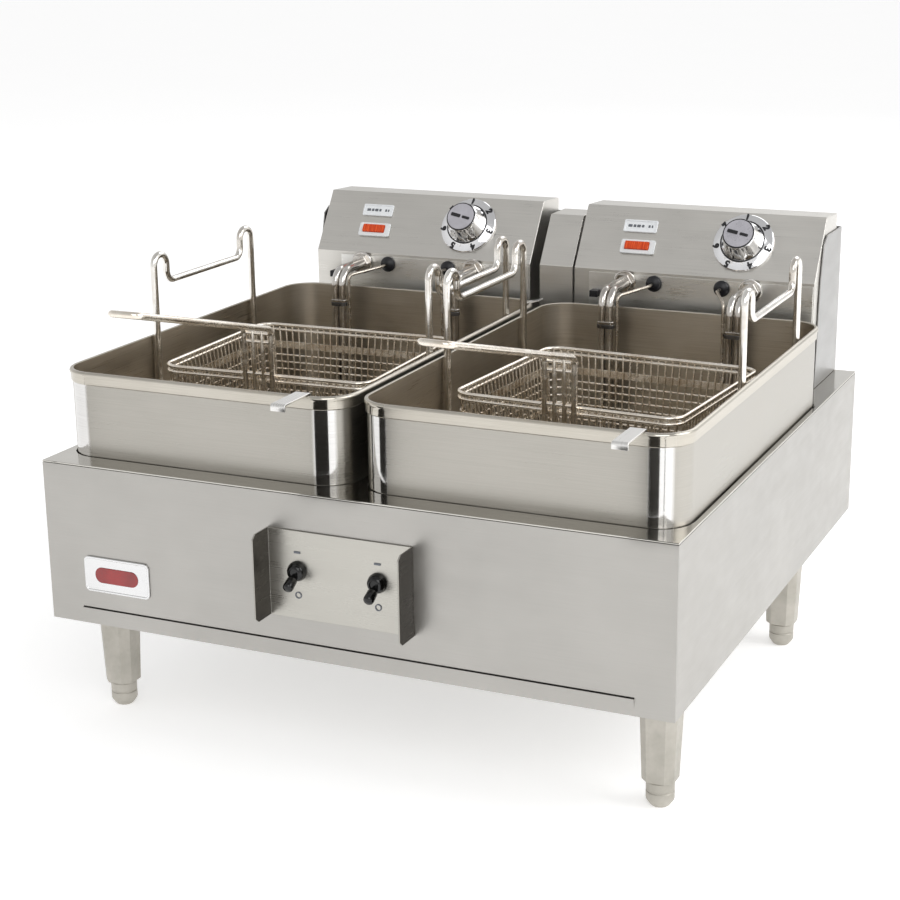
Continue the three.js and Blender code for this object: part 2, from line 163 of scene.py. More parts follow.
def lathe(bm, profile, segments, where):
    """Turns a profile of (radius, height) points round the Z axis of the matrix where."""
    rings = []
    for radius, height in profile:
        angles = (2 * math.pi * n / segments for n in range(segments))
        radius = max(radius, 1e-6)
        rings.append([where @ Vector((radius * math.cos(a), radius * math.sin(a), height)) for a in angles])
    made = loft(bm, rings, True, True)
    bmesh.ops.remove_doubles(bm, verts=[v for ring in made for v in ring], dist=5e-6)


def in_metres(points):
    """Points given in millimetres, as metres."""
    return [tuple(value * MM for value in point) for point in points]


def lifted(outline, height, where):
    """An outline of the XY plane of the matrix where, at a height along its Z axis."""
    return [where @ Vector((x, y, height)) for x, y in outline]


def slab(bm, outline, low, high, where):
    """An outline in the XY plane of the matrix where, thickened from low to high along its Z axis."""
    loft(bm, [lifted(outline, low, where), lifted(outline, high, where)], True, True)


def frame_at(origin, x_axis, y_axis):
    """A matrix whose axes are x_axis, y_axis and their cross product, at the origin given."""
    x_axis, y_axis = Vector(x_axis).normalized(), Vector(y_axis).normalized()
    turn = Matrix((x_axis, y_axis, x_axis.cross(y_axis))).transposed()
    return Matrix.Translation(origin) @ turn.to_4x4()


def facing_front(x, y, z):
    """A frame on an upright face: X across, Y up and Z out towards the cook."""
    return frame_at(Vector((x, y, z)), (1, 0, 0), (0, 0, 1))


def soften(target, width, segments=2, angle=30):
    """Rounds an object's sharp edges and keeps its flats flat."""
    weld = target.modifiers.new("weld", "WELD")
    weld.merge_threshold = 2e-6
    bevel = target.modifiers.new("bevel", "BEVEL")
    bevel.width = width
    bevel.segments = segments
    bevel.limit_method = "ANGLE"
    bevel.angle_limit = math.radians(angle)
    bevel.harden_normals = False
    normals = target.modifiers.new("normals", "WEIGHTED_NORMAL")
    normals.keep_sharp = True


def piece(name, bm, material, body, replaces=(), bevel=0.0, smooth=38):
    """Makes an object of the mesh, riding on a body, and standing for CAD nodes where it replaces them."""
    bmesh.ops.recalc_face_normals(bm, faces=bm.faces)
    mesh = bpy.data.meshes.new(name)
    bm.to_mesh(mesh)
    bm.free()
    mesh.polygons.foreach_set("use_smooth", [True] * len(mesh.polygons))
    mesh.set_sharp_from_angle(angle=math.radians(smooth))
    made = bpy.data.objects.new(name, mesh)
    bpy.context.scene.collection.objects.link(made)
    made.data.materials.append(material)
    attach(made, body)
    if replaces:
        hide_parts(*replaces)
    if bevel:
        soften(made, bevel)
    return made


def dress(material, bevel, *nodes):
    """Gives CAD nodes their material and rounds their edges."""
    for name in nodes:
        node = frame["nodes"][name]
        node.data.polygons.foreach_set("use_smooth", [True] * len(node.data.polygons))
        for material_slot in node.material_slots:
            material_slot.link = "OBJECT"
            material_slot.material = material
        soften(node, bevel)


def middle(node):
    low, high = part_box(node)
    return (low + high) / 2


# -------------------- materials
class Shader:
    """A material's node tree, with short calls for the nodes used here."""

    def __init__(self, name):
        self.material = bpy.data.materials.new(name)
        self.material.use_nodes = True
        self.tree = self.material.node_tree
        self.surface = self.tree.nodes["Principled BSDF"]
        coordinates = self.tree.nodes.new("ShaderNodeTexCoord")
        self.place = coordinates.outputs["Object"]
        self.facing = coordinates.outputs["Normal"]

    def link(self, source, target):
        self.tree.links.new(source, target)

    def noise(self, scale, detail=3.0, stretch=(1, 1, 1), roughness=0.55):
        mapping = self.tree.nodes.new("ShaderNodeMapping")
        mapping.inputs["Scale"].default_value = stretch
        self.link(self.place, mapping.inputs["Vector"])
        node = self.tree.nodes.new("ShaderNodeTexNoise")
        node.inputs["Scale"].default_value = scale
        node.inputs["Detail"].default_value = detail
        node.inputs["Roughness"].default_value = roughness
        self.link(mapping.outputs["Vector"], node.inputs["Vector"])
        return node.outputs["Fac"]

    def remap(self, value, low, high, from_low=0.3, from_high=0.7):
        node = self.tree.nodes.new("ShaderNodeMapRange")
        self.link(value, node.inputs["Value"])
        numbers = {"From Min": from_low, "From Max": from_high, "To Min": low, "To Max": high}
        for name, number in numbers.items():
            node.inputs[name].default_value = number
        return node.outputs["Result"]

    def math(self, operation, a, b):
        node = self.tree.nodes.new("ShaderNodeMath")
        node.operation = operation
        for socket, value in zip(node.inputs, (a, b)):
            if isinstance(value, (int, float)):
                socket.default_value = value
            else:
                self.link(value, socket)
        return node.outputs[0]

    def blend(self, factor, dark, light):
        node = self.tree.nodes.new("ShaderNodeMix")
        node.data_type = "RGBA"
        self.link(factor, node.inputs["Factor"])
        for name, value in (("A", dark), ("B", light)):
            socket = next(i for i in node.inputs if i.name == name and i.type == "RGBA")
            if isinstance(value, tuple):
                socket.default_value = (*value, 1)
            else:
                self.link(value, socket)
        return next(o for o in node.outputs if o.type == "RGBA")

    def attribute(self, name):
        node = self.tree.nodes.new("ShaderNodeAttribute")
        node.attribute_name = name
        return node.outputs["Fac"]

    def sideways(self):
        """1 where a face looks along X, and 0 where it looks along Y or Z."""
        split = self.tree.nodes.new("ShaderNodeSeparateXYZ")
        self.link(self.facing, split.inputs["Vector"])
        return self.math("ABSOLUTE", split.outputs["X"], 0)

    def color(self, value):
        self.link(value, self.surface.inputs["Base Color"])

    def rough(self, value):
        self.link(value, self.surface.inputs["Roughness"])

    def bump(self, height, distance, strength=1.0):
        node = self.tree.nodes.new("ShaderNodeBump")
        node.inputs["Distance"].default_value = distance
        node.inputs["Strength"].default_value = strength
        self.link(height, node.inputs["Height"])
        self.link(node.outputs["Normal"], self.surface.inputs["Normal"])

    def set(self, **values):
        for name, value in values.items():
            self.surface.inputs[name.replace("_", " ")].default_value = value


def scaled(color, factor):
    return tuple(min(1.0, channel * factor) for channel in color)


def brushed_steel(name, color, roughness, across, painted_side_reflection=None):
    """Satin steel. across is how fast the brushed lines change along X, Y and Z, per metre.

    With a side colour, faces looking along X are painted in it instead of the steel: a painted reflection
    of the darker room beside the fryer.
    """
    smudge = 0.08
    shader = Shader(name)
    shader.set(Metallic=1.0)
    lines = shader.noise(1.0, 4.0, across, 0.7)
    clouds = shader.noise(7.0, 3.0)
    wiped = shader.noise(26.0, 2.0, (1, 1, 2.2))
    tone = shader.math("ADD", shader.remap(clouds, -0.5, 0.5), shader.remap(lines, -0.5, 0.5))
    factor = shader.remap(tone, 0.0, 1.0, -1.0, 1.0)
    base = shader.blend(factor, scaled(color, 1 - smudge), scaled(color, 1 + smudge))
    # Painted reflection: faces looking along X take the darker side colour, whatever lights them.
    if painted_side_reflection:
        base = shader.blend(shader.sideways(), base, painted_side_reflection)
    shader.color(base)
    grain = shader.remap(lines, roughness * 0.8, roughness * 1.2)
    shader.rough(shader.math("ADD", grain, shader.remap(wiped, -0.03, 0.05)))
    shader.bump(lines, 0.00001, 0.6)
    return shader.material


def plated_wire(name, color, roughness, stain, stain_amount):
    """Bright plated wire with a brown film where oil has baked on."""
    shader = Shader(name)
    shader.set(Metallic=1.0)
    film = shader.remap(shader.noise(38.0, 4.0), 0.0, stain_amount, 0.42, 0.68)
    shader.color(shader.blend(film, color, stain))
    shader.rough(shader.remap(shader.noise(160.0, 3.0), roughness * 0.7, roughness * 1.5))
    shader.bump(shader.noise(900.0, 2.0), 0.00002, 0.5)
    return shader.material


def pot_steel():
    """Drawn steel: satin outside, with a painted highlight on its front corners and on its rolled hem, and
    a baked-on oil tone inside.
    """
    shader = Shader("pot_steel")
    shader.set(Metallic=1.0)
    lines = shader.noise(1.0, 4.0, (14, 14, 1500), 0.7)
    clouds = shader.noise(9.0, 3.0)
    inside = shader.attribute("inside")
    corner = shader.attribute("corner")
    hem = shader.attribute("hem")
    tone = shader.remap(shader.math("ADD", clouds, shader.remap(lines, -0.3, 0.3)), 0.0, 1.0, 0.2, 0.8)
    outer = shader.blend(tone, (0.41, 0.392, 0.355), (0.48, 0.46, 0.42))
    # Painted highlight: the hem band along the top of the wall is coloured lighter and warmer than the wall
    # below it.
    rolled = shader.blend(tone, (0.50, 0.47, 0.41), (0.62, 0.585, 0.52))
    inner = shader.blend(tone, (0.50, 0.445, 0.365), (0.64, 0.585, 0.50))
    # Painted highlight: corners that face the front are coloured much lighter than the walls, and their
    # roughness is lower.
    painted_corner_highlight = shader.blend(tone, (0.66, 0.65, 0.635), (0.80, 0.79, 0.775))
    outside = shader.blend(hem, shader.blend(corner, outer, painted_corner_highlight), rolled)
    shader.color(shader.blend(inside, outside, inner))
    satin = shader.math("ADD", shader.remap(lines, 0.27, 0.40), shader.remap(clouds, -0.04, 0.05))
    shader.rough(shader.math("MULTIPLY", satin, shader.remap(corner, 1.0, 0.33, 0.0, 1.0)))
    shader.bump(lines, 0.00001, 0.5)
    return shader.material


def cast_metal():
    """Cast and tumbled alloy of the legs."""
    shader = Shader("leg_casting")
    shader.set(Metallic=0.75)
    clouds = shader.noise(30.0, 4.0)
    shader.color(shader.blend(shader.remap(clouds, 0.0, 1.0), (0.42, 0.40, 0.355), (0.53, 0.505, 0.455)))
    shader.rough(shader.remap(shader.noise(220.0, 3.0), 0.38, 0.58))
    shader.bump(shader.noise(700.0, 4.0), 0.00008, 0.7)
    return shader.material


def moulded(name, color, roughness, texture=420.0, depth=0.00004, sheen_spots=0.12, **values):
    """Moulded plastic or rubber with a fine grain and handled patches."""
    shader = Shader(name)
    shader.set(**values)
    patches = shader.noise(60.0, 3.0)
    factor = shader.remap(patches, 0.0, 1.0)
    shader.color(shader.blend(factor, scaled(color, 1 - sheen_spots), scaled(color, 1 + sheen_spots)))
    shader.rough(shader.remap(patches, roughness * 0.8, roughness * 1.25))
    shader.bump(shader.noise(texture, 3.0), depth, 0.6)
    return shader.material


def amber_lens():
    """Ribbed translucent lens."""
    shader = Shader("lamp_amber")
    ribs = shader.noise(1.0, 1.0, (620, 60, 60))
    shader.color(shader.blend(shader.remap(ribs, 0.0, 1.0), (0.50, 0.03, 0.003), (0.80, 0.10, 0.008)))
    shader.set(Transmission_Weight=0.15, Emission_Color=(1.0, 0.12, 0.01, 1), Emission_Strength=0.08)
    shader.rough(shader.remap(ribs, 0.12, 0.3))
    shader.bump(ribs, 0.0001, 0.6)
    return shader.material


def floor_paper():
    """White paper that glows a little, so that it stays white up to its far edge."""
    shader = Shader("floor_paper")
    shader.color(shader.blend(shader.noise(3.0), (0.90, 0.90, 0.90), (0.93, 0.93, 0.93)))
    shader.set(Roughness=0.9, Emission_Color=(1, 1, 1, 1), Emission_Strength=0.4)
    return shader.material


CABINET = brushed_steel("cabinet_steel", (0.44, 0.427, 0.403), 0.36, (12, 12, 1500))
DECK = brushed_steel("deck_steel", (0.62, 0.60, 0.555), 0.12, (10, 1500, 10))
HEAD = brushed_steel("head_steel", (0.68, 0.66, 0.62), 0.33, (12, 1100, 1100))
# The guard's faces along X are painted near black, a painted reflection of the room beside the fryer.
GUARD = brushed_steel("guard_steel", (0.49, 0.475, 0.435), 0.3, (12, 12, 1500), (0.07, 0.064, 0.056))
RISER = brushed_steel("riser_steel", (0.41, 0.405, 0.395), 0.36, (12, 1100, 1100))
# Painted light: the element plates are coloured much lighter than the head steel, to make up for the shade
# under the heads.
PLATE = brushed_steel("element_plate_steel", (0.86, 0.85, 0.82), 0.3, (12, 12, 1300))
SCREEN = brushed_steel("screen_steel", (0.62, 0.60, 0.57), 0.28, (900, 12, 900))
TAB = brushed_steel("tab_steel", (0.86, 0.85, 0.83), 0.3, (1100, 12, 40))
BADGE = brushed_steel("badge_plate", (0.74, 0.74, 0.74), 0.22, (12, 12, 1500))
POT_STEEL = pot_steel()
CAST = cast_metal()
BASKET_WIRE = plated_wire("basket_wire", (0.93, 0.87, 0.78), 0.22, (0.56, 0.45, 0.33), 0.5)
HANGER_WIRE = plated_wire("hanger_wire", (0.90, 0.88, 0.84), 0.13, (0.48, 0.41, 0.33), 0.5)
SHEATH = plated_wire("element_sheath", (0.70, 0.68, 0.65), 0.13, (0.38, 0.33, 0.28), 0.6)
COLLAR = plated_wire("collar_steel", (0.16, 0.155, 0.15), 0.3, (0.08, 0.075, 0.07), 0.5)
PROBE = plated_wire("probe_line", (0.62, 0.57, 0.50), 0.24, (0.40, 0.33, 0.25), 0.5)
CHROME = plated_wire("dial_chrome", (0.88, 0.88, 0.89), 0.09, (0.6, 0.6, 0.62), 0.25)
DIAL_FACE = moulded("dial_face", (0.50, 0.49, 0.53), 0.3, Metallic=0.25)
MARKS = moulded("dial_marks", (0.012, 0.012, 0.014), 0.35)
BLACK = moulded("black_plastic", (0.003, 0.003, 0.003), 0.1, 300.0, 0.00002)
RUBBER = moulded("black_rubber", (0.006, 0.006, 0.009), 0.42, 260.0, 0.00006)
WHITE = moulded("lamp_white", (0.80, 0.82, 0.83), 0.25, sheen_spots=0.03)
LABEL = moulded("label_white", (0.84, 0.86, 0.88), 0.3, sheen_spots=0.04)
GREY_INK = moulded("label_ink", (0.13, 0.14, 0.16), 0.4)
ENAMEL = moulded("badge_enamel", (0.27, 0.006, 0.006), 0.2, sheen_spots=0.2, Coat_Weight=0.8)
AMBER = amber_lens()
CARD = moulded("studio_card", (0.05, 0.047, 0.043), 0.9)


# -------------------- pots
def fry_pot(side):
    low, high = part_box(f"fry_pot_{side}")
    centre = (low + high) / 2
    half_x = (high.x - low.x) / 2 - POT["proud"]
    half_y = (high.y - low.y) / 2 - POT["proud"]
    bm = bmesh.new()
    rings = []
    for offset, z in pot_outside(low.z, high.z) + pot_inside(low.z, high.z):
        loop = rounded_loop(half_x + offset, half_y + offset, POT["corner"] + offset, 14)
        rings.append([Vector((centre.x + x, centre.y + y, z)) for x, y in loop])
    loft(bm, rings, True, True)
    made = piece(f"pot_{side}", bm, POT_STEEL, "fryer", (f"fry_pot_{side}",))
    mark_pot(made.data, centre, half_x, half_y, low.z + SHEET, high.z)
    made.modifiers.new("normals", "WEIGHTED_NORMAL").keep_sharp = True


def pot_outside(base, rim):
    """The outer wall from the floor up to the rolled hem, as (distance out, height) points."""
    hem = rim - POT["hem"]
    foot = ((-8, 0), (-3, 1.2), (-0.6, 4), (0, 8))
    roll = ((0, -0.4), (0.7, 0), (1.3, 0.7))
    lip = ((-0.2, 3.6), (0, 2.2), (-0.6, 0.8), (-1.9, 0))
    points = [(out * MM, base + up * MM) for out, up in foot]
    points += [(out * MM, hem + up * MM) for out, up in roll]
    points.append((1.5 * MM, rim - 5 * MM))
    return points + [(POT["proud"] + out * MM, rim - down * MM) for out, down in lip]


def pot_inside(base, rim):
    """The inner wall from the rim down to the bend into the floor, as (distance out, height) points."""
    bend, floor = POT["floor_bend"], base + SHEET
    points = [(out * MM - SHEET, rim - down * MM) for out, down in ((0.8, 0), (0.2, 0.4), (0, 1.2))]
    for k in range(6):
        angle = math.radians(90 * k / 5)
        points.append((-SHEET - bend * (1 - math.cos(angle)), floor + bend * (1 - math.sin(angle))))
    return points


def mark_pot(mesh, centre, half_x, half_y, floor, rim):
    """Tells the pot's material what is inside, which front corners get the painted highlight, and what is
    in the rolled hem, which is painted lighter too.
    """
    marks = {"inside": [], "corner": [], "hem": []}
    reach, near = POT["corner"], 0.1 * MM
    for vertex in mesh.vertices:
        x, y = abs(vertex.co.x - centre.x), abs(vertex.co.y - centre.y)
        beyond_x, beyond_y = x - (half_x - reach), y - (half_y - reach)
        in_corner = min(beyond_x, beyond_y) > 2 * near
        radius = math.hypot(max(beyond_x, 0), max(beyond_y, 0))
        wall = radius if in_corner else max(beyond_x, beyond_y)
        within = wall < reach - SHEET * 0.9 and floor - near < vertex.co.z < rim - 8 * near
        towards_front = vertex.co.y < centre.y and beyond_y > 1.15 * beyond_x
        marks["inside"].append(float(within))
        # Only corners turned towards the front get the painted highlight.
        marks["corner"].append(float(in_corner and towards_front))
        marks["hem"].append(float(vertex.co.z > rim - POT["hem"] - near))
    for name, values in marks.items():
        mesh.attributes.new(name, "FLOAT", "POINT").data.foreach_set("value", values)


def hanger(side, which):
    """A bent wire on the pot's wall: two legs, a loop at the top of each, and a bar between the loops."""
    node = f"hanger_{which}_{side}"
    low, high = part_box(node)
    wire = (high.x - low.x) / 2
    x = (low.x + high.x) / 2
    front, rear, top = low.y + wire, high.y - wire, high.z - wire
    loop, bar = HANGER["loop"], top - HANGER["bar_drop"]
    corners = [
        (x, front, low.z), (x, front, top), (x, front + loop, top), (x, front + loop, bar),
        (x, rear - loop, bar), (x, rear - loop, top), (x, rear, top), (x, rear, low.z),
    ]
    bm = bmesh.new()
    tube(bm, bent(corners, HANGER["bend"], 8), wire, 14)
    piece(node + "_wire", bm, HANGER_WIRE, "fryer", (node,))


def hanger_rivet():
    """The bright rivet head on the right pot's inner wall, behind its outer hanger."""
    _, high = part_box("fry_pot_right")
    _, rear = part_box("hanger_outer_right")
    wall, behind, below_rim = high.x - POT["proud"] - SHEET, 24 * MM, 27 * MM
    where = frame_at(Vector((wall, rear.y + behind, high.z - below_rim)), (0, 1, 0), (0, 0, 1))
    where = where @ Matrix.Rotation(math.pi, 4, "X")
    bm = bmesh.new()
    lathe(bm, in_metres([(0, 0), (3.4, 0), (3.1, 0.8), (2, 1.6), (0, 2)]), 20, where)
    piece("pot_rivet_right", bm, CHROME, "fryer")


def rear_tab():
    """The small bright tab on the left pot's rim, at the rear end of the gap between the pots."""
    _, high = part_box("fry_pot_left")
    from_side, from_rear, above = 3 * MM, 14 * MM, 0.3 * MM
    half, thick = 8 * MM, 1.2 * MM
    where = Matrix.Translation((high.x - from_side, high.y - from_rear, high.z + above))
    where = where @ Matrix.Rotation(math.radians(-14), 4, "Y") @ Matrix.Rotation(math.radians(6), 4, "Z")
    bm = bmesh.new()
    slab(bm, rounded_loop(half, half, 1 * MM, 3), 0, thick, where)
    piece("pot_rear_tab", bm, TAB, "fryer", bevel=0.3 * MM)


def crumb_screen(side):
    """A perforated plate on the elements, under the basket."""
    node = f"crumb_screen_{side}"
    low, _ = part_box(node)
    pot_low, pot_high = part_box(f"fry_pot_{side}")
    margin = POT["proud"] + SHEET + SCREEN_PLATE["edge_gap"]
    left, right, front = pot_low.x + margin, pot_high.x - margin, pot_low.y + margin
    top = low.z + SCREEN_PLATE["thick"]
    columns = int((right - left) / SCREEN_PLATE["pitch"])
    rows = int(SCREEN_PLATE["length"] / SCREEN_PLATE["pitch"])
    wide, deep = (right - left) / columns, SCREEN_PLATE["length"] / rows
    bm = bmesh.new()
    for column in range(columns):
        for row in range(rows):
            x, y = left + (column + 0.5) * wide, front + (row + 0.5) * deep
            perforated_cell(bm, x, y, top, wide / 2, deep / 2, SCREEN_PLATE["hole"])
    bmesh.ops.remove_doubles(bm, verts=bm.verts, dist=1e-6)
    made = piece(node + "_plate", bm, SCREEN, "fryer", (node,))
    thick = made.modifiers.new("thick", "SOLIDIFY")
    thick.thickness = SCREEN_PLATE["thick"]
    thick.offset = -1


def perforated_cell(bm, x, y, z, half_x, half_y, hole):
    """One square of plate with a round hole: eight quads between the hole and the square's edge."""
    edge = [(1, 0), (1, 1), (0, 1), (-1, 1), (-1, 0), (-1, -1), (0, -1), (1, -1)]
    outer = [bm.verts.new((x + a * half_x, y + b * half_y, z)) for a, b in edge]
    inner = []
    for k in range(8):
        angle = math.radians(45 * k)
        inner.append(bm.verts.new((x + hole * math.cos(angle), y + hole * math.sin(angle), z)))
    for k in range(8):
        after = (k + 1) % 8
        bm.faces.new((inner[k], outer[k], outer[after], inner[after]))


def lift_tab(side):
    """The bent strap that lifts the crumb screen, hooked over the pot's front rim."""
    low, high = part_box(f"crumb_screen_{side}")
    pot_low, pot_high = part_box(f"fry_pot_{side}")
    centre_x = (pot_low.x + pot_high.x) / 2 + LIFT_TAB["off_centre"]
    inner = pot_low.y + POT["proud"] + SHEET + LIFT_TAB["wall_gap"]
    over, tip = high.z - SHEET / 2, low.y + SHEET / 2
    corners = [
        (0, inner, low.z + SCREEN_PLATE["thick"]), (0, inner, over),
        (0, tip, over), (0, tip, high.z - SHEET - LIFT_TAB["lip"]),
    ]
    route = bent(corners, LIFT_TAB["bend"], 5)
    half = Vector((LIFT_TAB["half_width"], 0, 0))
    bm = bmesh.new()
    rings = []
    for k, point in enumerate(route):
        before, after = route[max(0, k - 1)], route[min(len(route) - 1, k + 1)]
        along = (after - before).normalized()
        out = Vector((0, -along.z, along.y)) * SHEET / 2
        base = Vector((centre_x, point.y, point.z))
        rings.append([base + out + half, base - out + half, base - out - half, base + out - half])
    loft(bm, rings, True, True)
    piece(f"lift_tab_{side}", bm, TAB, "fryer", bevel=0.3 * MM, smooth=30)


# -------------------- baskets
def basket_frame(side):
    """The basket's own frame: its centre at rim height, turned as it hangs in the pot."""
    centre = middle(f"basket_{side}")
    _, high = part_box(f"basket_{side}")
    turn = Matrix.Rotation(math.radians(BASKET_YAW[side]), 4, "Z")
    return Matrix.Translation((centre.x, centre.y, high.z)) @ turn


def basket_wall(depth_down, total, shrink=0.0):
    """Half sizes and corner radius of the mesh wall at a depth below the rim."""
    share = max(0.0, depth_down - BASKET["band"]) / (total - BASKET["band"])
    scale = 1 - (1 - BASKET_TAPER) * share
    inset = BASKET["inset"] + shrink + (1.5 * MM if depth_down > BASKET["band"] else 0)
    half_x = (BASKET["width"] / 2 - inset) * scale
    half_y = (BASKET["depth"] / 2 - inset) * scale
    return half_x, half_y, BASKET["corner"] * scale


def wall_loop(depth_down, total, shrink=0.0, steps=6):
    half_x, half_y, corner = basket_wall(depth_down, total, shrink)
    return [(x, y, -depth_down) for x, y in rounded_loop(half_x, half_y, corner, steps)]


def edge_lengths(points):
    """The lengths of a closed loop's edges."""
    return [(Vector(b) - Vector(a)).length for a, b in zip(points, points[1:] + points[:1])]


def along_loop(points, share):
    """The point a share of the way round a closed loop."""
    lengths = edge_lengths(points)
    rest = share * sum(lengths)
    for k, length in enumerate(lengths):
        if rest <= length:
            return Vector(points[k]).lerp(Vector(points[(k + 1) % len(points)]), rest / length)
        rest -= length
    return Vector(points[0])


def basket(side):
    node = f"basket_{side}"
    low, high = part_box(node)
    total = high.z - low.z - 2 * BASKET["wire"]
    where = basket_frame(side)
    bm = bmesh.new()
    uprights(bm, total)
    hoops(bm, total)
    floor_mesh(bm, total)
    bm.transform(where)
    piece(f"{node}_mesh", bm, BASKET_WIRE, f"lifting_basket_{side}", (node,), smooth=80)
    bm = bmesh.new()
    frame_wires(bm, total)
    bm.transform(where)
    piece(f"{node}_frame", bm, BASKET_WIRE, f"lifting_basket_{side}", smooth=60)


def uprights(bm, total):
    """The mesh's upright wires, spread evenly round the wall."""
    levels = (3 * MM, BASKET["strap_top"], BASKET["strap_low"], total * 0.5, total - 7 * MM)
    loops = [wall_loop(level, total) for level in levels]
    loops.append(wall_loop(total - 2 * MM, total, 1.5 * MM))
    loops.append(wall_loop(total, total, 7 * MM))
    count = round(sum(edge_lengths(loops[0])) / BASKET["pitch"])
    for k in range(count):
        tube(bm, [along_loop(loop, k / count) for loop in loops], BASKET["wire"], 5)


def hoops(bm, total):
    """The mesh's level wires, welded outside the uprights."""
    outside = -2 * BASKET["wire"]
    depth_down = BASKET["strap_low"] + BASKET["pitch"]
    while depth_down < total - 3 * MM:
        tube(bm, wall_loop(depth_down, total, outside), BASKET["wire"], 5, closed=True)
        depth_down += BASKET["pitch"]


def floor_mesh(bm, total):
    """The two layers of wires across the basket's floor."""
    half_x, half_y, _ = basket_wall(total, total, 6 * MM)
    corner_cut, slant = 22 * MM, 0.75
    layers = ((half_x, half_y, -1.2 * MM, False), (half_y, half_x, 0.2 * MM, True))
    for half, reach, above, turned in layers:
        count = round(2 * half / BASKET["pitch"])
        for k in range(count + 1):
            at = -half + 2 * half * k / count
            end = reach - max(0.0, abs(at) - (half - corner_cut)) * slant
            ends = [(at, -end, above - total), (at, end, above - total)]
            if turned:
                ends = [(y, x, z) for x, y, z in ends]
            tube(bm, ends, BASKET["wire"], 5)


def frame_wires(bm, total):
    """The thick wires that stiffen the basket, and the strap under its rim band."""
    rim = BASKET["rim_wire"]
    for depth_down, radius, shrink in (
        (rim, rim, rim - BASKET["inset"]),
        (rim + BASKET["rim_gap"], rim * 0.85, rim - BASKET["inset"]),
        (total * 0.42, 1.4 * MM, -2.2 * MM),
        (total - 1.5 * MM, 1.6 * MM, -0.5 * MM),
    ):
        tube(bm, wall_loop(depth_down, total, shrink, 10), radius, 9, closed=True)
    top, low, inner, outer = BASKET["strap_top"], BASKET["strap_low"], -0.9 * MM, -1.8 * MM
    section = ((top, inner), (low, inner), (low, outer), (top, outer), (top, inner))
    loft(bm, [wall_loop(depth_down, total, shrink, 10) for depth_down, shrink in section])
    half_x, half_y, _ = basket_wall(total, total, 6 * MM)
    for share in (-0.45, 0.45):
        wide, deep = half_x * share, half_y + 3 * MM
        tube(bm, [(wide, -deep, -total - 0.4 * MM), (wide, deep, -total - 0.4 * MM)], 1.5 * MM, 8)


def basket_handle(side):
    """The long grip, its riser of four wires, and the level wires welded across the riser."""
    node = f"basket_handle_{side}"
    rail, half = HANDLE["rail"], HANDLE["spacing"] / 2
    y = -BASKET["depth"] / 2 - rail - 0.4 * MM
    tilt = math.radians(HANDLE_TILT)
    run, climb = HANDLE["length"] * math.cos(tilt), HANDLE["length"] * math.sin(tilt)
    rise, foot = HANDLE["rise"], -HANDLE["riser"]
    thick, thin, inner_wire = 2.0 * MM, 1.7 * MM, 2.3 * MM
    bm = bmesh.new()
    grip = bent([
        (-half, y, foot), (-half, y, rise), (-half, y - run, rise + climb),
        (half, y - run, rise + climb), (half, y, rise), (half, y, foot),
    ], HANDLE["bend"], 7)
    tube(bm, grip, rail, 12)
    for x in (-half * 0.34, half * 0.34):
        tube(bm, [(x, y, foot), (x, y, rise - rail)], inner_wire, 10)
    levels = (rise - 5 * MM, thick), (rise - 13 * MM, thin), (0.5 * MM, thick), (foot + 3 * MM, thick)
    for z, radius in levels:
        reach = half + (3 * MM if z > 0 else 6 * MM)
        tube(bm, [(-reach, y, z), (reach, y, z)], radius, 10)
    bm.transform(basket_frame(side))
    piece(f"{node}_wires", bm, BASKET_WIRE, f"lifting_basket_{side}", (node,), smooth=60)


# -------------------- elements and probes
def element(side):
    """A pair of side-by-side tubes that come out of the head, drop into the pot and run round it."""
    node = f"element_{side}"
    low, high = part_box(node)
    arms = (low.x + TUBE["collar_half"], high.x - TUBE["collar_half"])
    exit_z, level, front = high.z - TUBE["end"], low.z + TUBE["end"], low.y + TUBE["end"]
    drop_y = high.y - TUBE["arm_back"]
    bm = bmesh.new()
    for shift in (-TUBE["apart"], TUBE["apart"]):
        a, b = arms[0] + shift, arms[1] - shift
        reach = front + shift
        corners = [
            (a, high.y, exit_z), (a, drop_y, exit_z), (a, drop_y, level), (a, reach, level),
            (b, reach, level), (b, drop_y, level), (b, drop_y, exit_z), (b, high.y, exit_z),
        ]
        tube(bm, bent(corners, TUBE["bend"], 8), TUBE["radius"], 14)
    piece(f"{node}_tubes", bm, SHEATH, "fryer", (node,), smooth=60)
    element_clamps(side, arms, drop_y, exit_z - TUBE["clamp_drop"])
    element_glands(side, arms, high.y, exit_z)


def element_clamps(side, arms, y, z):
    """The dark clamp round each pair of tubes, with a bright lip above it."""
    clamp, lips = bmesh.new(), bmesh.new()
    half_x, half_y = TUBE["apart"] + TUBE["radius"] + 0.9 * MM, TUBE["radius"] + 0.9 * MM
    half_height, lip_top, step = 2 * MM, 5 * MM, 0.3 * MM
    outline = rounded_loop(half_x, half_y, TUBE["radius"] + 0.8 * MM, 8)
    lip = rounded_loop(half_x - step, half_y - step, TUBE["radius"] + 0.5 * MM, 8)
    for x in arms:
        where = Matrix.Translation((x, y, z))
        slab(clamp, outline, -half_height, half_height, where)
        slab(lips, lip, half_height, lip_top, where)
    piece(f"element_clamps_{side}", clamp, COLLAR, "fryer", bevel=0.4 * MM)
    piece(f"element_clamp_lips_{side}", lips, SHEATH, "fryer", bevel=0.4 * MM)


def element_glands(side, arms, plate_y, z):
    """The nut and flange where each arm enters the control head."""
    flange = in_metres([(0, -0.5), (12.5, -0.5), (12.5, 0.8), (11.6, 1.6), (0, 1.6)])
    turns = [math.radians(60 * k) for k in range(6)]
    nut = [(10.5 * MM * math.cos(turn), 10.5 * MM * math.sin(turn)) for turn in turns]
    bm = bmesh.new()
    for x in arms:
        where = facing_front(x, plate_y, z)
        lathe(bm, flange, 36, where)
        slab(bm, nut, 1.6 * MM, 8 * MM, where)
    piece(f"element_glands_{side}", bm, SHEATH, "fryer", bevel=0.6 * MM)


